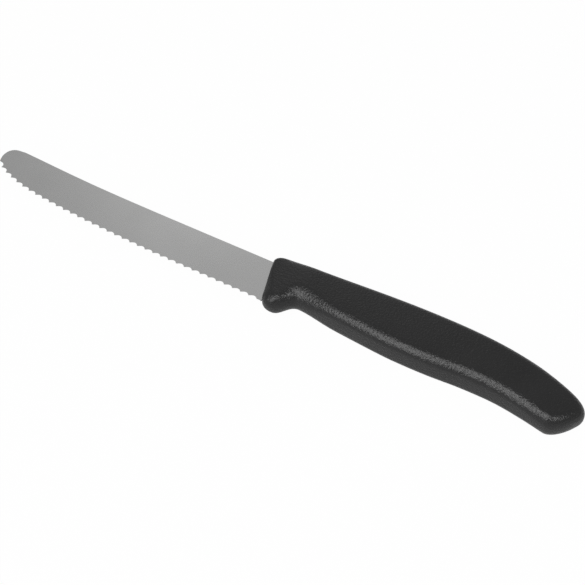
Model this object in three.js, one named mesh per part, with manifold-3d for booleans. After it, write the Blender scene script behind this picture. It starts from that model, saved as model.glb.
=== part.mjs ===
// Table knife with a round tip and a scalloped edge: a steel blade with its tang in one piece,
// and a plastic handle moulded over the tang.
// Millimetres. X runs along the knife from tip to butt, Y from the cutting edge to the spine, and
// Z is up from the side that the knife lies on. While the pieces are made, X = 0 and Y = 0 is the
// heel, close to where the edge goes into the handle, and Z = 0 is the middle of the blade.
import * as THREE from 'three';
import { mergeVertices } from 'three/addons/utils/BufferGeometryUtils.js';
import Module from 'manifold-3d';

const wasm = await Module();
wasm.setup();

// Blade
const bladeLength = 110.4;
const heelWidth = 15.6;
const stock = 1.2;
const edgeThickness = 0.5;
// Places on its outline: how far from the heel or from the tip, and how high above the heel
const heelEnd = { fromHeel: -0.5, height: -0.1 };
const firstTooth = { fromHeel: 0.92, height: -0.2 };
const edgeSag = { fromHeel: 48, height: -0.72 };
const edgeLift = { fromTip: 30.4, height: 0.27 };
const toeStart = { fromTip: 15.4, height: 1.75 };
const toe = { fromTip: 8.4, height: 3.4 };
const toeEnd = { fromTip: 2.65, height: 5.75 };
const lastTooth = { fromTip: 0.45, height: 7.8 };
const nose = { fromTip: 0, height: 10.6 };
const noseTop = { fromTip: 0.7, height: 13.1 };
const tipCorner = { fromTip: 2.4, height: 14.6 };
const tipShoulder = { fromTip: 6.2, height: 15.3 };
const spineWaist = { fromHeel: 72, height: 14.5 };
const edgeSteps = 60;
const tipSteps = 24;
const spineSteps = 16;

// Scallops, ground from the under side of the blade, and a little deeper towards the tip
const scallopPitch = 3.07;
const heelScallopDepth = 0.72;
const tipScallopDepth = 0.95;
const grindAngle = THREE.MathUtils.degToRad(20);
const grindLength = 14;
const grindFacets = 60;

// Tang inside the handle, with the holes that lock the plastic to it
const seatDepth = 6;
const tangLength = 64;
const tangWidth = 7.8;
const tangMiddle = 11.4;
const tangHoleRadius = 2;
const tangHoleCount = 3;
const tangHoleSpacing = 17;
const tangHoleInset = 9;
const tangLap = 2;
const mouldGap = 0.3;
const postLap = 0.6;
const roundSteps = 12;
const weldDistance = 1e-4;

// Handle seen from its side. Its front and its butt are straight lines, and smooth curves join
// them. A place has its height above the heel and the reach of the curve's pull before and after
// it. Its run along X is from the heel for the foot, head, guard and brow, and otherwise from the
// place before it.
const frontFoot = { run: 0.15, height: 2.05, pull: 2.15 };
const frontHead = { run: -2.65, height: 13.95, pull: 2 };
const guard = { run: 4.3, height: -1.35, before: 2.55, after: 3.75 };
const scoop = { run: 8.05, height: 4.05, before: 2.8, after: 3.65 };
const belly = { run: 34.75, height: 1.95, before: 6.5, after: 18.9 };
const waist = { run: 31.15, height: 3.25, before: 14.05, after: 10.05 };
const hook = { run: 22.85, height: 0.05, before: 2.1, after: 2.75 };
const buttFoot = { run: 7.1, height: 5.6, pull: 2.55 };
const buttHead = { run: 1, height: 7.25, pull: 3.9 };
const brow = { run: 2.65, height: 17.9, before: 2.85, after: 17.25 };
const crown = { run: 60.25, height: 21.1, before: 25.9, after: 20.35 };
const tail = { fromButt: 4.35, height: 14.5, fall: 0.46, before: 8.25, after: 4.05 };
const bottomSteps = [6, 12, 14, 12, 12, 6];
const topSteps = [10, 30, 14, 8];

// Handle seen from its spine: full thickness between the cheeks and the tail
const handleThickness = 11.4;
const frontThickness = 8.4;
const buttThickness = 9.6;
const cheekStart = 15;
const tailTaperLength = 37;
// Its rounded edges: how far they draw in from the outline, and how far they drop from the side.
// Guard and butt are rounded over almost their whole thickness and drawn in towards a middle point.
const cornerRadius = 3.3;
const mouthRadius = 1.3;
const mouthBlend = 6;
const fullRound = 0.93;
const guardCornerReach = 4;
const guardMiddle = { run: 6.2, height: 6.2 };
const guardDraw = 0.52;
const guardDrawBlend = 8;
const scoopCornerReach = 5.2;
const scoopCornerStart = 5;
const scoopCornerBlend = 14;
const buttMiddle = { fromButt: 11.7, height: 8.2 };
const buttDraw = 0.34;
const buttRoundStart = 19;
const buttRoundBlend = 14;
const cornerSteps = 5;

// Worked out from the sizes above
const tangLow = tangMiddle - tangWidth / 2;
const tangHigh = tangMiddle + tangWidth / 2;
const guardX = guard.run;
const scoopX = guardX + scoop.run;
const bellyX = scoopX + belly.run;
const waistX = bellyX + waist.run;
const hookX = waistX + hook.run;
const buttFootX = hookX + buttFoot.run;
const buttHeadX = buttFootX + buttHead.run;

const steel = new THREE.MeshStandardMaterial({ color: 0xa6a6a5, roughness: 0.36, metalness: 1 });
const plastic = new THREE.MeshStandardMaterial({ color: 0x1c1c1d, roughness: 0.55, metalness: 0 });

// A closed geometry as a solid that can be joined and cut
function solidOf(geometry) {
  const bare = geometry.clone();
  bare.deleteAttribute('normal');
  bare.deleteAttribute('uv');
  const merged = mergeVertices(bare, weldDistance);
  return new wasm.Manifold(new wasm.Mesh({
    numProp: 3,
    vertProperties: new Float32Array(merged.attributes.position.array),
    triVerts: new Uint32Array(merged.index.array),
  }));
}

// A solid as a named mesh
function meshOf(name, solid, material) {
  const result = solid.getMesh();
  const geometry = new THREE.BufferGeometry();
  geometry.setAttribute('position', new THREE.BufferAttribute(result.vertProperties, 3));
  geometry.setIndex(new THREE.BufferAttribute(result.triVerts, 1));
  geometry.computeVertexNormals();
  const mesh = new THREE.Mesh(geometry, material);
  mesh.name = name;
  return mesh;
}

// A flat plate of a shape, its thickness centred on Z = 0
function plate(shape, thickness) {
  const geometry = new THREE.ExtrudeGeometry(shape, {
    depth: thickness,
    bevelEnabled: false,
    curveSegments: roundSteps,
  });
  return geometry.translate(0, 0, -thickness / 2);
}

function bladePoint(place) {
  const x = place.fromHeel === undefined ? place.fromTip - bladeLength : -place.fromHeel;
  return new THREE.Vector3(x, place.height, 0);
}

function smoothThrough(points, steps) {
  return new THREE.CatmullRomCurve3(points, false, 'centripetal').getSpacedPoints(steps);
}

// Line of the tooth points, from the first tooth beside the handle to the last beside the tip
function edgeLine(steps) {
  const places = [firstTooth, edgeSag, edgeLift, toeStart, toe, toeEnd, lastTooth];
  return smoothThrough(places.map(bladePoint), steps);
}

// The blade is thickest at its spine and thins evenly to the edge
function thicknessAt(y) {
  return THREE.MathUtils.mapLinear(y, 0, heelWidth, edgeThickness, stock);
}

function bladeBody() {
  const tip = smoothThrough([lastTooth, nose, noseTop, tipCorner, tipShoulder].map(bladePoint), tipSteps);
  const spineEnd = new THREE.Vector3(0, heelWidth, 0);
  const spine = smoothThrough([bladePoint(tipShoulder), bladePoint(spineWaist), spineEnd], spineSteps);
  const outline = [
    bladePoint(heelEnd),
    ...edgeLine(edgeSteps),
    ...tip.slice(1),
    ...spine.slice(1),
    new THREE.Vector3(seatDepth, heelWidth, 0),
    new THREE.Vector3(seatDepth, tangLow, 0),
  ];
  const geometry = plate(new THREE.Shape(outline), stock);
  const position = geometry.attributes.position;
  for (let i = 0; i < position.count; i += 1) {
    const side = Math.sign(position.getZ(i));
    position.setZ(i, side * thicknessAt(position.getY(i)) / 2);
  }
  return solidOf(geometry);
}

function tangHoleCentres() {
  const centres = [];
  for (let i = 0; i < tangHoleCount; i += 1) {
    centres.push(tangLength - tangHoleInset - i * tangHoleSpacing);
  }
  return centres;
}

function tang() {
  const shape = new THREE.Shape();
  const endRadius = tangWidth / 2;
  shape.moveTo(seatDepth - tangLap, tangHigh);
  shape.lineTo(seatDepth - tangLap, tangLow);
  shape.absarc(tangLength - endRadius, tangMiddle, endRadius, -Math.PI / 2, Math.PI / 2);
  for (const x of tangHoleCentres()) {
    const hole = new THREE.Path();
    hole.absarc(x, tangMiddle, tangHoleRadius, 0, Math.PI * 2);
    shape.holes.push(hole);
  }
  return solidOf(plate(shape, stock));
}

// Round wheels that grind the scallops. Each wheel lies across the edge, tipped by the grinding
// angle, so that it leaves a hollow on the under side and a curved notch between two tooth points.
function scallopWheels() {
  const line = new THREE.CatmullRomCurve3(edgeLine(edgeSteps));
  const count = Math.round(line.getLength() / scallopPitch);
  const teeth = line.getSpacedPoints(count);
  let wheels = null;
  for (let i = 0; i < count; i += 1) {
    const along = new THREE.Vector3().subVectors(teeth[i + 1], teeth[i]);
    const chord = along.length();
    along.normalize();
    const inward = new THREE.Vector3(along.y, -along.x, 0);
    const scallopDepth = THREE.MathUtils.lerp(heelScallopDepth, tipScallopDepth, i / (count - 1));
    const sag = scallopDepth * Math.sin(grindAngle);
    const radius = (chord * chord / 4 + sag * sag) / (2 * sag);
    const apex = teeth[i].clone().lerp(teeth[i + 1], 0.5).addScaledVector(inward, scallopDepth);
    apex.z = thicknessAt(apex.y) / 2;
    const axis = inward.clone().multiplyScalar(Math.cos(grindAngle));
    axis.z = -Math.sin(grindAngle);
    const outward = inward.clone().multiplyScalar(-Math.sin(grindAngle));
    outward.z = -Math.cos(grindAngle);
    const wheel = new THREE.CylinderGeometry(radius, radius, grindLength, grindFacets);
    const turn = new THREE.Matrix4().makeBasis(along, axis, outward);
    wheel.applyMatrix4(turn);
    const centre = apex.addScaledVector(outward, radius);
    wheel.translate(centre.x, centre.y, centre.z);
    wheels = wheels === null ? solidOf(wheel) : wheels.add(solidOf(wheel));
  }
  return wheels;
}

function blade() {
  return bladeBody().add(tang()).subtract(scallopWheels());
}

// One curve of the handle's outline, leaving a point along one direction and reaching the next
// along another. The last point is left to the curve that follows.
function pulled(start, leave, end, arrive, steps) {
  const curve = new THREE.CubicBezierCurve(start, start.clone().add(leave), end.clone().sub(arrive), end);
  return curve.getPoints(steps).slice(0, steps);
}

const flat = (reach) => new THREE.Vector2(reach, 0);
const foot = new THREE.Vector2(frontFoot.run, frontFoot.height);
const head = new THREE.Vector2(frontHead.run, frontHead.height);
const frontRise = head.clone().sub(foot).normalize();
const lowButt = new THREE.Vector2(buttFootX, buttFoot.height);
const highButt = new THREE.Vector2(buttHeadX, buttHead.height);
const buttRise = highButt.clone().sub(lowButt).normalize();

// Under side of the outline from the foot of the front line to the foot of the butt
function bottomChain() {
  const guardPoint = new THREE.Vector2(guardX, guard.height);
  const scoopPoint = new THREE.Vector2(scoopX, scoop.height);
  const bellyPoint = new THREE.Vector2(bellyX, belly.height);
  const waistPoint = new THREE.Vector2(waistX, waist.height);
  const hookPoint = new THREE.Vector2(hookX, hook.height);
  const leaveFoot = frontRise.clone().multiplyScalar(-frontFoot.pull);
  const reachButt = buttRise.clone().multiplyScalar(buttFoot.pull);
  return [
    ...pulled(foot, leaveFoot, guardPoint, flat(guard.before), bottomSteps[0]),
    ...pulled(guardPoint, flat(guard.after), scoopPoint, flat(scoop.before), bottomSteps[1]),
    ...pulled(scoopPoint, flat(scoop.after), bellyPoint, flat(belly.before), bottomSteps[2]),
    ...pulled(bellyPoint, flat(belly.after), waistPoint, flat(waist.before), bottomSteps[3]),
    ...pulled(waistPoint, flat(waist.after), hookPoint, flat(hook.before), bottomSteps[4]),
    ...pulled(hookPoint, flat(hook.after), lowButt, reachButt, bottomSteps[5]),
    lowButt,
  ];
}

// Upper side of the outline from the head of the front line to the head of the butt
function topChain() {
  const browPoint = new THREE.Vector2(brow.run, brow.height);
  const crownPoint = new THREE.Vector2(brow.run + crown.run, crown.height);
  const tailPoint = new THREE.Vector2(buttHeadX - tail.fromButt, tail.height);
  const tailWay = new THREE.Vector2(1, -tail.fall).normalize();
  const leaveHead = frontRise.clone().multiplyScalar(frontHead.pull);
  const reachTail = tailWay.clone().multiplyScalar(tail.before);
  const leaveTail = tailWay.clone().multiplyScalar(tail.after);
  const reachButt = buttRise.clone().multiplyScalar(-buttHead.pull);
  return [
    ...pulled(head, leaveHead, browPoint, flat(brow.before), topSteps[0]),
    ...pulled(browPoint, flat(brow.after), crownPoint, flat(crown.before), topSteps[1]),
    ...pulled(crownPoint, flat(crown.after), tailPoint, reachTail, topSteps[2]),
    ...pulled(tailPoint, leaveTail, highButt, reachButt, topSteps[3]),
    highButt,
  ];
}

// How far a point lies behind the handle's leaning front line
function behindFront(point) {
  const rise = (point.y - foot.y) / (head.y - foot.y);
  return point.x - THREE.MathUtils.lerp(foot.x, head.x, rise);
}

function halfThicknessAt(point) {
  const { lerp, smoothstep } = THREE.MathUtils;
  const cheek = lerp(frontThickness, handleThickness, smoothstep(behindFront(point), 0, cheekStart));
  const tailStart = buttHeadX - tailTaperLength;
  const butt = lerp(handleThickness, buttThickness, smoothstep(point.x, tailStart, buttHeadX));
  return Math.min(cheek, butt) / 2;
}

// Reach and drop of the rounded edge at a point of the upper side: small at the handle's mouth
function upperCornerAt(point) {
  const { lerp, smoothstep } = THREE.MathUtils;
  const radius = lerp(mouthRadius, cornerRadius, smoothstep(behindFront(point), 0, mouthBlend));
  return { reach: radius, drop: radius, guardShare: 0 };
}

// Reach and drop of the rounded edge at a point of the under side: the guard is as round as a nub
function underCornerAt(point) {
  const { lerp, smoothstep } = THREE.MathUtils;
  const scoopShare = smoothstep(point.x, scoopX - scoopCornerStart, scoopX);
  const bellyShare = smoothstep(point.x, scoopX, scoopX + scoopCornerBlend);
  const frontReach = lerp(guardCornerReach, scoopCornerReach, scoopShare);
  return {
    reach: lerp(frontReach, cornerRadius, bellyShare),
    drop: lerp(fullRound * halfThicknessAt(point), cornerRadius, bellyShare),
    guardShare: 1 - smoothstep(point.x, guardX, guardX + guardDrawBlend),
  };
}

// How the rounded edge draws in from a point of the outline, and how far it drops from the side
function roundedEdgeAt(point, inward, corner) {
  const { lerp, smoothstep } = THREE.MathUtils;
  const { reach, drop, guardShare } = corner;
  const start = buttHeadX - buttRoundStart;
  const buttShare = smoothstep(point.x, start, start + buttRoundBlend);
  const toGuard = new THREE.Vector2(guardMiddle.run, guardMiddle.height).sub(point);
  const toButt = new THREE.Vector2(buttHeadX - buttMiddle.fromButt, buttMiddle.height).sub(point);
  const draw = inward.clone().multiplyScalar(reach * (1 - guardShare - buttShare));
  draw.addScaledVector(toGuard, guardDraw * guardShare);
  draw.addScaledVector(toButt, buttDraw * buttShare);
  return { draw, drop: lerp(drop, fullRound * halfThicknessAt(point), buttShare) };
}

// Moulded body of the handle: its outline with straight walls, round corners and flat sides.
// The outline is drawn in by steps round each corner, and strips across it close both sides.
function handleBody() {
  const top = topChain();
  const bottom = bottomChain();
  const ring = [...top, ...bottom.slice().reverse()];
  const edges = ring.map((point, i) => {
    const before = ring[(i + ring.length - 1) % ring.length];
    const after = ring[(i + 1) % ring.length];
    const way = new THREE.Vector2().subVectors(after, before).normalize();
    const inward = new THREE.Vector2(way.y, -way.x);
    const corner = i < top.length ? upperCornerAt(point) : underCornerAt(point);
    return roundedEdgeAt(point, inward, corner);
  });
  const positions = [];
  const addRing = (side, angle) => {
    ring.forEach((point, i) => {
      const { draw, drop } = edges[i];
      const placed = point.clone().addScaledVector(draw, 1 - Math.cos(angle));
      const height = halfThicknessAt(point) - drop * (1 - Math.sin(angle));
      positions.push(placed.x, placed.y, side * height);
    });
  };
  for (let step = cornerSteps; step >= 0; step -= 1) {
    addRing(-1, step / cornerSteps * Math.PI / 2);
  }
  for (let step = 0; step <= cornerSteps; step += 1) {
    addRing(1, step / cornerSteps * Math.PI / 2);
  }
  const triangles = [];
  const size = ring.length;
  const ringCount = 2 * (cornerSteps + 1);
  for (let level = 0; level < ringCount - 1; level += 1) {
    for (let i = 0; i < size; i += 1) {
      const next = (i + 1) % size;
      const low = level * size;
      const high = low + size;
      triangles.push(low + i, high + i, low + next);
      triangles.push(low + next, high + i, high + next);
    }
  }
  const lastRing = (ringCount - 1) * size;
  for (let i = 0; i < top.length - 1; i += 1) {
    const under = size - 1 - i;
    triangles.push(i, i + 1, under);
    triangles.push(i + 1, under - 1, under);
    triangles.push(lastRing + i, lastRing + under, lastRing + i + 1);
    triangles.push(lastRing + i + 1, lastRing + under, lastRing + under - 1);
  }
  const geometry = new THREE.BufferGeometry();
  geometry.setAttribute('position', new THREE.Float32BufferAttribute(positions, 3));
  geometry.setIndex(triangles);
  return solidOf(geometry);
}

// Room for the blade's seat and the tang, open at the front of the handle
function tangSlot() {
  const endRadius = tangWidth / 2 + mouldGap;
  const heel = bladePoint(heelEnd);
  const lean = (tangLow - heel.y) / (seatDepth - heel.x);
  const shift = mouldGap * Math.hypot(1, 1 / lean) - mouldGap / lean;
  const opening = head.x - seatDepth;
  const shape = new THREE.Shape();
  shape.moveTo(opening, heel.y - mouldGap);
  shape.lineTo(heel.x + shift, heel.y - mouldGap);
  shape.lineTo(seatDepth + shift, tangLow - mouldGap);
  shape.absarc(tangLength - tangWidth / 2, tangMiddle, endRadius, -Math.PI / 2, Math.PI / 2);
  shape.lineTo(seatDepth + mouldGap, tangHigh + mouldGap);
  shape.lineTo(seatDepth + mouldGap, heelWidth + mouldGap);
  shape.lineTo(opening, heelWidth + mouldGap);
  return solidOf(plate(shape, stock + 2 * mouldGap));
}

// Posts of plastic that fill the tang's holes
function post(x) {
  const height = stock + 2 * (mouldGap + postLap);
  const geometry = new THREE.CylinderGeometry(
    tangHoleRadius - mouldGap,
    tangHoleRadius - mouldGap,
    height,
    2 * roundSteps,
  );
  return solidOf(geometry.rotateX(Math.PI / 2).translate(x, tangMiddle, 0));
}

function handle() {
  let body = handleBody().subtract(tangSlot());
  for (const x of tangHoleCentres()) {
    body = body.add(post(x));
  }
  return body;
}

// The knife lies on the flat side of its handle, with its middle over the origin
const pieces = new THREE.Group();
pieces.add(meshOf('blade', blade(), steel));
pieces.add(meshOf('handle', handle(), plastic));
const extent = new THREE.Box3().setFromObject(pieces);
const middle = extent.getCenter(new THREE.Vector3());
pieces.position.set(-middle.x, -middle.y, -extent.min.z);

const knife = new THREE.Group();
knife.add(pieces);

export default knife;
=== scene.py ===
import math

import bmesh
import bpy
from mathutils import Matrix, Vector
from mathutils.geometry import interpolate_bezier


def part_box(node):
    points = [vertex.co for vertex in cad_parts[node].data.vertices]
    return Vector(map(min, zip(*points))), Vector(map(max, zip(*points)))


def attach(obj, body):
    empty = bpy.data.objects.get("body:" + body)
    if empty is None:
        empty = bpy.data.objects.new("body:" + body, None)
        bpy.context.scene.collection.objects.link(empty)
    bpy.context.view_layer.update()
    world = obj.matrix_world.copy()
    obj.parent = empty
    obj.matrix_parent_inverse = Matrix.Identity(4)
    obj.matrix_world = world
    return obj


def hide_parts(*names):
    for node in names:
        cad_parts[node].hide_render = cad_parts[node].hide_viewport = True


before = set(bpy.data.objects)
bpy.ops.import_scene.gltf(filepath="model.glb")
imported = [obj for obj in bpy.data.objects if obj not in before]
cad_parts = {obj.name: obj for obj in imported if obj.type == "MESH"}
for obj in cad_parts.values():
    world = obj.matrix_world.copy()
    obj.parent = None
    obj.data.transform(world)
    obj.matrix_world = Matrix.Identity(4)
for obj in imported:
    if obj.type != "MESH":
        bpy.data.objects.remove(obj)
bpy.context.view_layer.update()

# Sizes are in millimetres from the heel: X to the butt, Y to the spine, Z up from the blade's middle.
# Only the table and the lamps are in metres.
MM = 0.001

# Sizes of the blade
BLADE_LENGTH = 110.4
HEEL_WIDTH = 15.6
STOCK = 1.2
EDGE_THICKNESS = 0.5
HEEL_END = Vector((0.5, -0.1))
LAST_TOOTH = (-109.95, 7.8)
SPINE_START = (-104.2, 15.3)
EDGE_PLACES = [
    (-0.92, -0.2),
    (-48, -0.72),
    (-80, 0.27),
    (-95, 1.75),
    (-102, 3.4),
    (-107.75, 5.75),
    LAST_TOOTH,
]
TIP_PLACES = [LAST_TOOTH, (-BLADE_LENGTH, 10.6), (-109.7, 13.1), (-108, 14.6), SPINE_START]
SPINE_PLACES = [SPINE_START, (-72, 14.5), (0, HEEL_WIDTH)]
SCALLOP_PITCH = 3.07
HEEL_SCALLOP_DEPTH = 0.72
TIP_SCALLOP_DEPTH = 0.95
SCALLOP_LEAN = 1.36
GRIND_ANGLE = math.radians(20)

# Sizes of the tang inside the handle
SEAT_DEPTH = 6
TANG_LENGTH = 64
TANG_WIDTH = 7.8
TANG_MIDDLE = 11.4
TANG_HOLES = [21, 38, 55]
TANG_HOLE_RADIUS = 2
TANG_DRILL_LENGTH = 3 * STOCK

# Sizes of the handle
AHEAD = Vector((1, 0))
FOOT = Vector((0.15, 2.05))
HEAD = Vector((-2.65, 13.95))
GUARD = Vector((4.3, -1.35))
SCOOP = Vector((12.35, 4.05))
BUTT_FOOT = Vector((108.2, 5.6))
BUTT_HEAD = Vector((109.2, 7.25))
CROWN_HEIGHT = 21.1
FRONT_WAY = (HEAD - FOOT).normalized()
BUTT_WAY = (BUTT_HEAD - BUTT_FOOT).normalized()
TAIL_WAY = Vector((1, -0.46)).normalized()
# Places on its outline: the point, the line's direction there,
# and how far the line reaches that way before and after the point
UNDER_LINE = [
    (FOOT, -FRONT_WAY, 0, 2.15),
    (GUARD, AHEAD, 2.55, 3.75),
    (SCOOP, AHEAD, 2.8, 3.65),
    (Vector((47.1, 1.95)), AHEAD, 6.5, 18.9),
    (Vector((78.25, 3.25)), AHEAD, 14.05, 10.05),
    (Vector((101.1, 0.05)), AHEAD, 2.1, 2.75),
    (BUTT_FOOT, BUTT_WAY, 2.55, 0),
]
OVER_LINE = [
    (HEAD, FRONT_WAY, 0, 2),
    (Vector((2.65, 17.9)), AHEAD, 2.85, 17.25),
    (Vector((62.9, CROWN_HEIGHT)), AHEAD, 25.9, 20.35),
    (Vector((104.85, 14.5)), TAIL_WAY, 8.25, 4.05),
    (BUTT_HEAD, -BUTT_WAY, 3.9, 0),
]
HANDLE_THICKNESS = 11.4
FRONT_THICKNESS = 8.4
BUTT_THICKNESS = 9.6
CHEEK_LENGTH = 15
TAIL_TAPER_LENGTH = 37
# Its rounded edges: how far they draw in from the outline, and how far they drop from the side.
# Guard and butt are rounded over almost their whole thickness and drawn in towards a middle point.
CORNER_RADIUS = 3.3
MOUTH_RADIUS = 1.3
MOUTH_BLEND = 6
FULL_ROUND = 0.93
GUARD_CORNER_REACH = 4
GUARD_CORNER_HEIGHT = 0.8
GUARD_MIDDLE = Vector((6.2, 6.2))
GUARD_DRAW = 0.52
GUARD_DRAW_BLEND = 8
GUARD_DRAW_HEIGHT = 0.7
SCOOP_CORNER_REACH = 5.2
SCOOP_CORNER_START = 5
SCOOP_CORNER_BLEND = 14
BUTT_MIDDLE = Vector((97.5, 8.2))
BUTT_DRAW = 0.34
BUTT_ROUND_START = 19
BUTT_ROUND_BLEND = 14
SIDE_TILT = math.radians(2)
SIDE_TILT_FADE = 14

# Fineness of the meshes
CURVE_POINTS = 60
EDGE_POINTS = 600
SCALLOP_STEPS = 14
GRIND_FADE_STEPS = 6
TIP_STEPS = 60
SPINE_STEPS = 40
TANG_END_STEPS = 24
TANG_HOLE_STEPS = 48
UNDER_STEPS = [18, 36, 42, 36, 36, 18]
OVER_STEPS = [30, 90, 42, 24]
WIDTH_STEPS = 12
CORNER_STEPS = 9
MIRROR_GAP = 0.001
WELD_GAP = 0.0005
BLADE_CREASE = math.radians(12)
HANDLE_CREASE = math.radians(30)

# Finish of the plastic
PLASTIC_IOR = 1.46
PLASTIC_DARK = (0.008, 0.008, 0.0082)
PLASTIC_LIGHT = (0.01, 0.01, 0.0102)
PLASTIC_ROUGHNESS = (0.25, 0.31)
PLASTIC_CLOUD_SCALE = 90
GRAIN_SCALE = 1500
GRAIN_DETAIL = 2
GRAIN_STRENGTH = 1
GRAIN_HEIGHT = 0.19

# Finish of the steel, whose grinding lines are a noise that is drawn out from spine to edge
STEEL_DARK = (0.56, 0.56, 0.557)
STEEL_LIGHT = (0.59, 0.59, 0.587)
STEEL_ROUGHNESS = (0.26, 0.3)
STEEL_CLOUD_SCALE = 60
LINE_DRAW = (1, 0.03, 1)
LINE_SCALE = 7000
LINE_DETAIL = 3
LINE_STRENGTH = 0.1
LINE_HEIGHT = 0.0008

# Noise of both finishes, whose scales are per metre: its detail in their tones,
# and the range that most of its values lie in
CLOUD_DETAIL = 2
NOISE_LOW = 0.3
NOISE_HIGH = 0.7

# Table and room, and how far the table glows white, as the photograph's bare background does
FLOOR_SIZE = 6
TABLE_GREY = (0.65, 0.65, 0.65, 1)
ROOM_GREY = (0.45, 0.45, 0.45, 1)
WHITE_IN_PICTURE = 0.98
WHITE_IN_GLOSS = 0.1

# Softboxes: the direction to each from the heel, its width, its height and its radiance
LAMP_DISTANCE = 0.9
SOFTBOXES = {
    "front strip": ((-0.185, -0.67, 0.719), 0.37, 1.2, 3.75),
    "back softbox": ((-0.43, 0.7, 0.57), 0.3, 0.5, 0.4),
    "side softbox": ((0.6, -0.42, 0.68), 0.25, 0.25, 6.6),
}
# Power of an area lamp for each unit of radiance and area
POWER_OF_RADIANCE = 4

# Camera, at the photograph's angle, and its picture's size in pixels
PICTURE_SIZE = 585
FOCAL_PIXELS = 1500
SENSOR_WIDTH = 36
CLIP_START = 10
VIEW_TARGET = Vector((7.915, 8.002, 0))
VIEW_DISTANCE = 490.41
VIEW_AZIMUTH = math.radians(29.584)
VIEW_ELEVATION = math.radians(52.322)

# The heel's place in the frame, in metres
blade_low, blade_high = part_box("blade")
handle_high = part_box("handle")[1]
HEEL = Vector((
    blade_low.x + BLADE_LENGTH * MM,
    handle_high.y - CROWN_HEIGHT * MM,
    (blade_low.z + blade_high.z) / 2,
))


def smooth_step(share):
    """A share from 0 to 1 that starts and ends gently."""
    share = min(max(share, 0), 1)
    return share * share * (3 - 2 * share)


def mix(start, end, share):
    """A value that goes smoothly from start to end."""
    return start + (end - start) * smooth_step(share)


# Work on pieces

def pick(piece):
    """Makes a piece the one that the next operators work on."""
    bpy.ops.object.select_all(action="DESELECT")
    piece.select_set(True)
    bpy.context.view_layer.objects.active = piece


def begin_edit(piece):
    pick(piece)
    bpy.ops.object.mode_set(mode="EDIT")
    return bmesh.from_edit_mesh(piece.data)


def end_edit():
    bpy.ops.object.mode_set(mode="OBJECT")


def apply_modifier(piece, modifier):
    pick(piece)
    bpy.ops.object.modifier_apply(modifier=modifier.name)


def cut_away(piece, tool):
    cut = piece.modifiers.new("cut", "BOOLEAN")
    cut.operation = "DIFFERENCE"
    cut.solver = "EXACT"
    cut.object = tool
    apply_modifier(piece, cut)


def close_mesh(piece):
    begin_edit(piece)
    bpy.ops.mesh.select_all(action="SELECT")
    bpy.ops.mesh.remove_doubles(threshold=WELD_GAP * MM)
    bpy.ops.mesh.normals_make_consistent(inside=False)
    end_edit()


def shade_smooth(piece, crease):
    pick(piece)
    bpy.ops.object.shade_smooth_by_angle(angle=crease)


def settle(piece):
    """Moves a piece that was made round the heel to its place in the frame."""
    pick(piece)
    piece.location = HEEL
    bpy.ops.object.transform_apply(location=True, rotation=False, scale=False)


def finish_piece(piece, node, material):
    piece.data.materials.clear()
    piece.data.materials.append(material)
    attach(piece, "root")
    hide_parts(node)


# Lines of the outlines

def line_length(points):
    return sum((end - start).length for start, end in zip(points, points[1:]))


def even_points(points, count):
    """That many points, spaced evenly along a line of points, with both its ends."""
    reached = [0]
    for start, end in zip(points, points[1:]):
        reached.append(reached[-1] + (end - start).length)
    placed = []
    stretch = 0
    for index in range(count):
        wanted = reached[-1] * index / (count - 1)
        while stretch < len(points) - 2 and reached[stretch + 1] < wanted:
            stretch += 1
        share = (wanted - reached[stretch]) / (reached[stretch + 1] - reached[stretch])
        placed.append(points[stretch].lerp(points[stretch + 1], share))
    return placed


def smooth_through(places, count):
    """Evenly spaced points on a smooth line through places.

    Its slope at a place is weighted by the gaps to the neighbours, so that short gaps don't bulge.
    """
    knots = [Vector(place) for place in places]
    knots.insert(0, knots[0] * 2 - knots[1])
    knots.append(knots[-1] * 2 - knots[-2])
    line = []
    for before, start, end, after in zip(knots, knots[1:], knots[2:], knots[3:]):
        gap_before = math.sqrt((start - before).length)
        gap = math.sqrt((end - start).length)
        gap_after = math.sqrt((after - end).length)
        slope = (end - start) / gap
        leave = (start - before) / gap_before - (end - before) / (gap_before + gap) + slope
        arrive = slope - (after - start) / (gap + gap_after) + (after - end) / gap_after
        bend = start + leave * gap / 3
        bend_end = end - arrive * gap / 3
        line += interpolate_bezier(start, bend, bend_end, end, CURVE_POINTS)[:-1]
    line.append(knots[-2])
    return even_points(line, count)


def line_points(places, steps):
    """Points on the smooth line from place to place, with both its ends."""
    points = []
    for start, end, count in zip(places, places[1:], steps):
        start_point, start_way, _, reach_after = start
        end_point, end_way, reach_before, _ = end
        bend = start_point + start_way * reach_after
        bend_end = end_point - end_way * reach_before
        points += interpolate_bezier(start_point, bend, bend_end, end_point, count + 1)[:-1]
    points.append(places[-1][0])
    return points


# Making the blade

def blade_thickness(y):
    """Thickness of the blade at a height above the heel, thinning evenly from spine to edge."""
    return EDGE_THICKNESS + (STOCK - EDGE_THICKNESS) * y / HEEL_WIDTH


def on_side(point, side):
    """A place on the blade's upper side, where side is 1, or on its lower side, where it is -1."""
    return Vector((point.x, point.y, side * blade_thickness(point.y) / 2)) * MM


def inward_way(start, end):
    """Direction into the blade, square to a stretch of its edge."""
    along = end - start
    return Vector((along.y, -along.x)).normalized()


def scallop_depths(length, deepest):
    """Depths of a scallop at even steps between two teeth: a round wheel's arc that leans to the first."""
    half = length / 2
    sag = deepest * math.sin(GRIND_ANGLE)
    radius = (half * half + sag * sag) / (2 * sag)
    depths = []
    for step in range(SCALLOP_STEPS):
        leaning = 1 - (1 - step / SCALLOP_STEPS) ** SCALLOP_LEAN
        offset = half * (2 * leaning - 1)
        rise = radius - math.sqrt(radius * radius - offset * offset)
        depths.append(deepest * (1 - rise / sag))
    return depths


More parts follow.
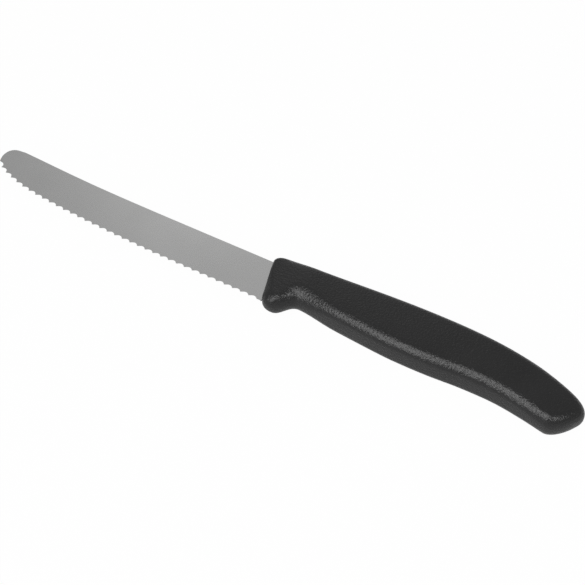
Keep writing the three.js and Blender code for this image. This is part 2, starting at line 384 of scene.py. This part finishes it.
def scalloped_edge():
    """Points of the cutting edge with their grind: how far its end on the lower side lies inwards.

    From tooth to tooth the grind turns with the edge, so that its ends don't cross next to the tip.
    """
    fine_line = smooth_through(EDGE_PLACES, EDGE_POINTS)
    count = round(line_length(fine_line) / SCALLOP_PITCH)
    teeth = even_points(fine_line, count + 1)
    ways = [inward_way(start, end) for start, end in zip(teeth, teeth[1:])]
    edge = []
    for index, inward in enumerate(ways):
        start = teeth[index]
        end = teeth[index + 1]
        tip_share = index / (count - 1)
        deepest = HEEL_SCALLOP_DEPTH + (TIP_SCALLOP_DEPTH - HEEL_SCALLOP_DEPTH) * tip_share
        first_way = inward + ways[max(index - 1, 0)]
        last_way = inward + ways[min(index + 1, count - 1)]
        for step, depth in enumerate(scallop_depths((end - start).length, deepest)):
            share = step / SCALLOP_STEPS
            point = start.lerp(end, share) + inward * depth
            grind_way = first_way.lerp(last_way, share).normalized()
            edge.append((point, grind_way * blade_thickness(point.y) / math.tan(GRIND_ANGLE)))
    edge.append((teeth[-1], edge[-1][1]))
    return edge


def tang_line():
    """Outline of the seat and the tang, from the spine round to the heel."""
    radius = TANG_WIDTH / 2
    points = [Vector((SEAT_DEPTH, HEEL_WIDTH)), Vector((SEAT_DEPTH, TANG_MIDDLE + radius))]
    for step in range(TANG_END_STEPS + 1):
        angle = math.pi / 2 - math.pi * step / TANG_END_STEPS
        points.append(Vector((
            TANG_LENGTH - radius + radius * math.cos(angle),
            TANG_MIDDLE + radius * math.sin(angle),
        )))
    points.append(Vector((SEAT_DEPTH, TANG_MIDDLE - radius)))
    return points


def blade_outline():
    """Points round the blade with their grind, which fades out past the last tooth."""
    no_grind = Vector((0, 0))
    edge = scalloped_edge()
    tip = smooth_through(TIP_PLACES, TIP_STEPS + 1)[1:]
    spine = smooth_through(SPINE_PLACES, SPINE_STEPS + 1)[1:]
    last_grind = edge[-1][1]
    outline = [(HEEL_END, no_grind)] + edge
    for index, point in enumerate(tip):
        fade = 1 - smooth_step((index + 1) / GRIND_FADE_STEPS)
        outline.append((point, last_grind * fade))
    outline += [(point, no_grind) for point in spine + tang_line()]
    return outline


def drill_tang(piece, x):
    bpy.ops.mesh.primitive_cylinder_add(
        vertices=TANG_HOLE_STEPS,
        radius=TANG_HOLE_RADIUS * MM,
        depth=TANG_DRILL_LENGTH * MM,
        location=(x * MM, TANG_MIDDLE * MM, 0),
    )
    drill = bpy.context.object
    cut_away(piece, drill)
    bpy.data.objects.remove(drill)


def make_blade():
    """The blade's upper side, extruded down to its lower side, with the tang's holes."""
    outline = blade_outline()
    bpy.ops.mesh.primitive_circle_add(vertices=len(outline), radius=MM, fill_type="NGON")
    piece = bpy.context.object
    piece.name = "satin_blade"
    mesh = begin_edit(piece)
    station = mesh.verts.layers.int.new("station")
    for index, vert in enumerate(mesh.verts):
        vert.co = on_side(outline[index][0], 1)
        vert[station] = index
    bmesh.update_edit_mesh(piece.data)
    bpy.ops.mesh.select_all(action="SELECT")
    bpy.ops.mesh.extrude_region_move(TRANSFORM_OT_translate={"value": (0, 0, -STOCK * MM)})
    mesh = bmesh.from_edit_mesh(piece.data)
    station = mesh.verts.layers.int["station"]
    for vert in mesh.verts:
        if vert.select:
            point, grind = outline[vert[station]]
            vert.co = on_side(point + grind, -1)
    bmesh.update_edit_mesh(piece.data)
    bpy.ops.mesh.normals_make_consistent(inside=False)
    end_edit()
    for x in TANG_HOLES:
        drill_tang(piece, x)
    return piece


# Making the handle

def behind_front(point):
    """How far a point lies behind the handle's leaning front line."""
    rise = (point.y - FOOT.y) / (HEAD.y - FOOT.y)
    return point.x - FOOT.x - (HEAD.x - FOOT.x) * rise


def half_thickness(point):
    """Half the handle's thickness at a point: it thins towards the blade and towards the butt."""
    cheek = mix(FRONT_THICKNESS, HANDLE_THICKNESS, behind_front(point) / CHEEK_LENGTH)
    tail_share = (point.x - BUTT_HEAD.x + TAIL_TAPER_LENGTH) / TAIL_TAPER_LENGTH
    tail = mix(HANDLE_THICKNESS, BUTT_THICKNESS, tail_share)
    return min(cheek, tail) / 2


def rounded_edge(point, inward, height_share):
    """How the edge at a point of the outline draws in, and how far it drops from the side."""
    behind = behind_front(point)
    full_drop = FULL_ROUND * half_thickness(point)
    guard_share = 0
    if height_share == 0:
        # Underside, from the guard along the belly
        scoop_share = (point.x - SCOOP.x + SCOOP_CORNER_START) / SCOOP_CORNER_START
        belly_share = (point.x - SCOOP.x) / SCOOP_CORNER_BLEND
        guard_share = 1 - smooth_step((point.x - GUARD.x) / GUARD_DRAW_BLEND)
        front_reach = mix(GUARD_CORNER_REACH, SCOOP_CORNER_REACH, scoop_share)
        reach = mix(front_reach, CORNER_RADIUS, belly_share)
        drop = mix(full_drop, CORNER_RADIUS, belly_share)
    elif height_share < 1 and behind < MOUTH_BLEND:
        # Front, from the guard up to the spine
        mouth_share = height_share / GUARD_CORNER_HEIGHT
        guard_share = 1 - smooth_step(height_share / GUARD_DRAW_HEIGHT)
        reach = mix(GUARD_CORNER_REACH, MOUTH_RADIUS, mouth_share)
        drop = mix(full_drop, MOUTH_RADIUS, mouth_share)
    else:
        # Spine and butt
        reach = mix(MOUTH_RADIUS, CORNER_RADIUS, behind / MOUTH_BLEND)
        drop = reach
    butt_share = smooth_step((point.x - BUTT_HEAD.x + BUTT_ROUND_START) / BUTT_ROUND_BLEND)
    draw = inward * reach * (1 - guard_share - butt_share)
    draw += (GUARD_MIDDLE - point) * GUARD_DRAW * guard_share
    draw += (BUTT_MIDDLE - point) * BUTT_DRAW * butt_share
    return draw, drop + (full_drop - drop) * butt_share


def side_tilt(point):
    """Tilt of the crowned side next to its rounded edge. It fades out at the front and the butt."""
    from_front = smooth_step(behind_front(point) / SIDE_TILT_FADE)
    from_butt = smooth_step((BUTT_HEAD.x - point.x) / SIDE_TILT_FADE)
    return SIDE_TILT * from_front * from_butt


class Station:
    """One place on the handle's outline, with the rounded edge that starts there."""

    def __init__(self, before, point, after, height_share):
        way = (after - before).normalized()
        self.point = point
        self.draw, self.corner_drop = rounded_edge(point, Vector((-way.y, way.x)), height_share)
        self.tilt = side_tilt(point)
        self.turn = math.pi / 2 - self.tilt
        self.drop = 0

    def plan(self, share):
        """Where the rounded edge is, seen from the side, at a share of its turn."""
        return self.point + self.draw * (1 - math.cos(self.turn * share))

    def height(self, share):
        """How high the rounded edge is above the handle's middle at a share of its turn."""
        top = half_thickness(self.plan(1)) - self.drop
        return top - self.corner_drop * (math.sin(self.turn) - math.sin(self.turn * share))

    def at(self, share):
        """The place of the rounded edge at a share of its turn."""
        plan = self.plan(share)
        return Vector((plan.x, plan.y, self.height(share)))


def handle_stations(under, over):
    """Stations by their column and row on the handle's side. Rows count from the belly to the spine."""
    last = len(under) - 1
    butt = [under[last].lerp(over[last], row / WIDTH_STEPS) for row in range(1, WIDTH_STEPS)]
    front = [under[0].lerp(over[0], row / WIDTH_STEPS) for row in range(1, WIDTH_STEPS)]
    ring = [(column, 0) for column in range(last + 1)]
    ring += [(last, row) for row in range(1, WIDTH_STEPS)]
    ring += [(column, WIDTH_STEPS) for column in range(last, -1, -1)]
    ring += [(0, row) for row in range(WIDTH_STEPS - 1, 0, -1)]
    points = under + butt + over[::-1] + front[::-1]
    stations = {}
    for index, place in enumerate(ring):
        after = points[(index + 1) % len(points)]
        stations[place] = Station(points[index - 1], points[index], after, place[1] / WIDTH_STEPS)
    for column in range(last + 1):
        low = stations[(column, 0)]
        high = stations[(column, WIDTH_STEPS)]
        drop = (high.plan(1) - low.plan(1)).length * math.tan((low.tilt + high.tilt) / 2) / 4
        low.drop = drop
        high.drop = drop
    return stations


def side_point(stations, column, row):
    """A point inside the handle's side, which is a little crowned from belly to spine."""
    low = stations[(column, 0)]
    high = stations[(column, WIDTH_STEPS)]
    share = row / WIDTH_STEPS
    plan = low.plan(1).lerp(high.plan(1), share)
    crown = 4 * low.drop * share * (1 - share)
    return Vector((plan.x, plan.y, half_thickness(plan) - low.drop + crown))


def lay_side(piece, stations, columns):
    """Spreads a grid of 1 mm over the handle's side and notes the stations of its rim."""
    mesh = begin_edit(piece)
    places = sorted(stations)
    number = {place: index for index, place in enumerate(places)}
    layer = mesh.verts.layers.int.new("station")
    for vert in mesh.verts:
        column = round((vert.co.x / MM + 0.5) * columns)
        row = round((vert.co.y / MM + 0.5) * WIDTH_STEPS)
        if (column, row) in stations:
            vert[layer] = number[(column, row)]
            vert.co = stations[(column, row)].at(1) * MM
        else:
            vert.co = side_point(stations, column, row) * MM
    bmesh.update_edit_mesh(piece.data)
    return places


def select_rim(piece):
    bpy.ops.mesh.select_mode(type="EDGE")
    bpy.ops.mesh.select_all(action="DESELECT")
    mesh = bmesh.from_edit_mesh(piece.data)
    for edge in mesh.edges:
        edge.select_set(edge.is_boundary)
    bmesh.update_edit_mesh(piece.data)


def draw_rim(piece, placed):
    """Extrudes the rim and puts each new point where its station says."""
    bpy.ops.mesh.extrude_edges_move()
    mesh = bmesh.from_edit_mesh(piece.data)
    layer = mesh.verts.layers.int["station"]
    for vert in mesh.verts:
        if vert.select:
            vert.co = placed(vert[layer]) * MM
    bmesh.update_edit_mesh(piece.data)


def make_handle(blade):
    """Half of the handle from its side down to its middle, mirrored, with room for the blade cut out."""
    under = line_points(UNDER_LINE, UNDER_STEPS)
    over = line_points(OVER_LINE, OVER_STEPS)
    stations = handle_stations(under, over)
    columns = len(under) - 1
    bpy.ops.mesh.primitive_grid_add(x_subdivisions=columns, y_subdivisions=WIDTH_STEPS, size=MM)
    piece = bpy.context.object
    piece.name = "moulded_handle"
    places = lay_side(piece, stations, columns)
    select_rim(piece)
    for step in range(CORNER_STEPS - 1, -1, -1):
        share = step / CORNER_STEPS
        draw_rim(piece, lambda index: stations[places[index]].at(share))
    draw_rim(piece, lambda index: stations[places[index]].point.to_3d())
    end_edit()
    mirror = piece.modifiers.new("far half", "MIRROR")
    mirror.use_axis = (False, False, True)
    mirror.use_clip = True
    mirror.merge_threshold = MIRROR_GAP * MM
    apply_modifier(piece, mirror)
    close_mesh(piece)
    cut_away(piece, blade)
    return piece


# Finishes

class Finish:
    """A material that is put together from shader nodes."""

    def __init__(self, name):
        self.material = bpy.data.materials.new(name)
        self.material.use_nodes = True
        self.tree = self.material.node_tree
        self.tree.nodes.clear()

    def fill(self, node, inputs):
        """Sets a node's inputs, each to a value or to another node's output."""
        for name, value in inputs.items():
            if isinstance(value, bpy.types.NodeSocket):
                self.tree.links.new(value, node.inputs[name])
            else:
                node.inputs[name].default_value = value

    def add(self, kind, inputs):
        """A new node of a kind, with its inputs set."""
        node = self.tree.nodes.new(kind)
        self.fill(node, inputs)
        return node

    def work_out(self, operation, *values):
        """The result of arithmetic on values and outputs."""
        node = self.tree.nodes.new("ShaderNodeMath")
        node.operation = operation
        self.fill(node, dict(enumerate(values)))
        return node.outputs["Value"]

    def place(self):
        """The coordinates of a point on its piece."""
        return self.add("ShaderNodeTexCoord", {}).outputs["Object"]

    def noise(self, place, scale, detail):
        node = self.add("ShaderNodeTexNoise", {
            "Vector": place,
            "Scale": scale,
            "Detail": detail,
        })
        return node.outputs["Fac"]

    def ramp(self, noise, dark, light):
        """A colour from dark to light, as a noise rises."""
        node = self.add("ShaderNodeValToRGB", {"Fac": noise})
        first, last = node.color_ramp.elements
        first.position = NOISE_LOW
        first.color = (*dark, 1)
        last.position = NOISE_HIGH
        last.color = (*light, 1)
        return node.outputs["Color"]

    def spread(self, noise, low, high):
        """A value from low to high, as a noise rises."""
        node = self.add("ShaderNodeMapRange", {
            "Value": noise,
            "From Min": NOISE_LOW,
            "From Max": NOISE_HIGH,
            "To Min": low,
            "To Max": high,
        })
        return node.outputs["Result"]

    def relief(self, noise, strength, height):
        """The normal of a surface that a noise raises by up to a height."""
        node = self.add("ShaderNodeBump", {
            "Height": noise,
            "Strength": strength,
            "Distance": height * MM,
        })
        return node.outputs["Normal"]

    def done(self, surface):
        """The material, with a shader as its surface."""
        self.add("ShaderNodeOutputMaterial", {"Surface": surface})
        return self.material


def grained_plastic():
    """Black moulded plastic with the fine grain of a spark-eroded mould."""
    finish = Finish("grained black plastic")
    place = finish.place()
    cloud = finish.noise(place, PLASTIC_CLOUD_SCALE, CLOUD_DETAIL)
    grain = finish.noise(place, GRAIN_SCALE, GRAIN_DETAIL)
    shader = finish.add("ShaderNodeBsdfPrincipled", {
        "IOR": PLASTIC_IOR,
        "Base Color": finish.ramp(cloud, PLASTIC_DARK, PLASTIC_LIGHT),
        "Roughness": finish.spread(grain, *PLASTIC_ROUGHNESS),
        "Normal": finish.relief(grain, GRAIN_STRENGTH, GRAIN_HEIGHT),
    })
    return finish.done(shader.outputs["BSDF"])


def satin_steel():
    """Stainless steel with fine grinding lines that run from spine to edge."""
    finish = Finish("satin ground steel")
    place = finish.place()
    drawn_out = finish.add("ShaderNodeMapping", {"Vector": place, "Scale": LINE_DRAW})
    lines = finish.noise(drawn_out.outputs["Vector"], LINE_SCALE, LINE_DETAIL)
    cloud = finish.noise(place, STEEL_CLOUD_SCALE, CLOUD_DETAIL)
    shader = finish.add("ShaderNodeBsdfPrincipled", {
        "Metallic": 1,
        "Base Color": finish.ramp(cloud, STEEL_DARK, STEEL_LIGHT),
        "Roughness": finish.spread(lines, *STEEL_ROUGHNESS),
        "Normal": finish.relief(lines, LINE_STRENGTH, LINE_HEIGHT),
    })
    return finish.done(shader.outputs["BSDF"])


def white_share(finish):
    """How far a surface glows white: most for the camera, less in gloss and glass, not for soft light."""
    path = finish.add("ShaderNodeLightPath", {}).outputs
    glossy = finish.work_out("MAXIMUM", path["Is Glossy Ray"], path["Is Transmission Ray"])
    dimmed = finish.work_out("MULTIPLY", glossy, WHITE_IN_GLOSS)
    return finish.work_out("MULTIPLY_ADD", path["Is Camera Ray"], WHITE_IN_PICTURE, dimmed)


def white_table():
    """A grey table that is white in the picture."""
    finish = Finish("white table")
    matt = finish.add("ShaderNodeBsdfDiffuse", {"Color": TABLE_GREY})
    glow = finish.add("ShaderNodeEmission", {})
    table = finish.add("ShaderNodeMixShader", {
        "Fac": white_share(finish),
        1: matt.outputs["BSDF"],
        2: glow.outputs["Emission"],
    })
    return finish.done(table.outputs["Shader"])


# Stage, light and camera

def make_floor():
    bpy.ops.mesh.primitive_plane_add(size=FLOOR_SIZE)
    floor = bpy.context.object
    floor.name = "floor"
    floor.data.materials.append(white_table())


def light_room():
    world = bpy.data.worlds.new("studio")
    bpy.context.scene.world = world
    world.use_nodes = True
    background = world.node_tree.nodes["Background"]
    background.inputs["Color"].default_value = ROOM_GREY
    background.inputs["Strength"].default_value = 1


def add_softbox(name, direction, width, height, radiance):
    way = Vector(direction).normalized()
    bpy.ops.object.light_add(type="AREA", location=HEEL + way * LAMP_DISTANCE)
    lamp = bpy.context.object
    lamp.name = name
    lamp.rotation_euler = way.to_track_quat("Z", "Y").to_euler()
    lamp.data.shape = "RECTANGLE"
    lamp.data.size = width
    lamp.data.size_y = height
    lamp.data.energy = radiance * POWER_OF_RADIANCE * width * height


def add_camera():
    level = math.cos(VIEW_ELEVATION)
    back = Vector((
        math.sin(VIEW_AZIMUTH) * level,
        -math.cos(VIEW_AZIMUTH) * level,
        math.sin(VIEW_ELEVATION),
    ))
    bpy.ops.object.camera_add(location=HEEL + (VIEW_TARGET + back * VIEW_DISTANCE) * MM)
    camera = bpy.context.object
    camera.rotation_euler = (math.pi / 2 - VIEW_ELEVATION, 0, VIEW_AZIMUTH)
    camera.data.sensor_width = SENSOR_WIDTH
    camera.data.lens = SENSOR_WIDTH * FOCAL_PIXELS / PICTURE_SIZE
    camera.data.clip_start = CLIP_START * MM
    bpy.context.scene.camera = camera


add_camera()
blade = make_blade()
handle = make_handle(blade)
shade_smooth(blade, BLADE_CREASE)
shade_smooth(handle, HANDLE_CREASE)
settle(blade)
settle(handle)
finish_piece(blade, "blade", satin_steel())
finish_piece(handle, "handle", grained_plastic())
make_floor()
light_room()
for name, softbox in SOFTBOXES.items():
    add_softbox(name, *softbox)
bpy.context.scene.view_settings.view_transform = "Standard"
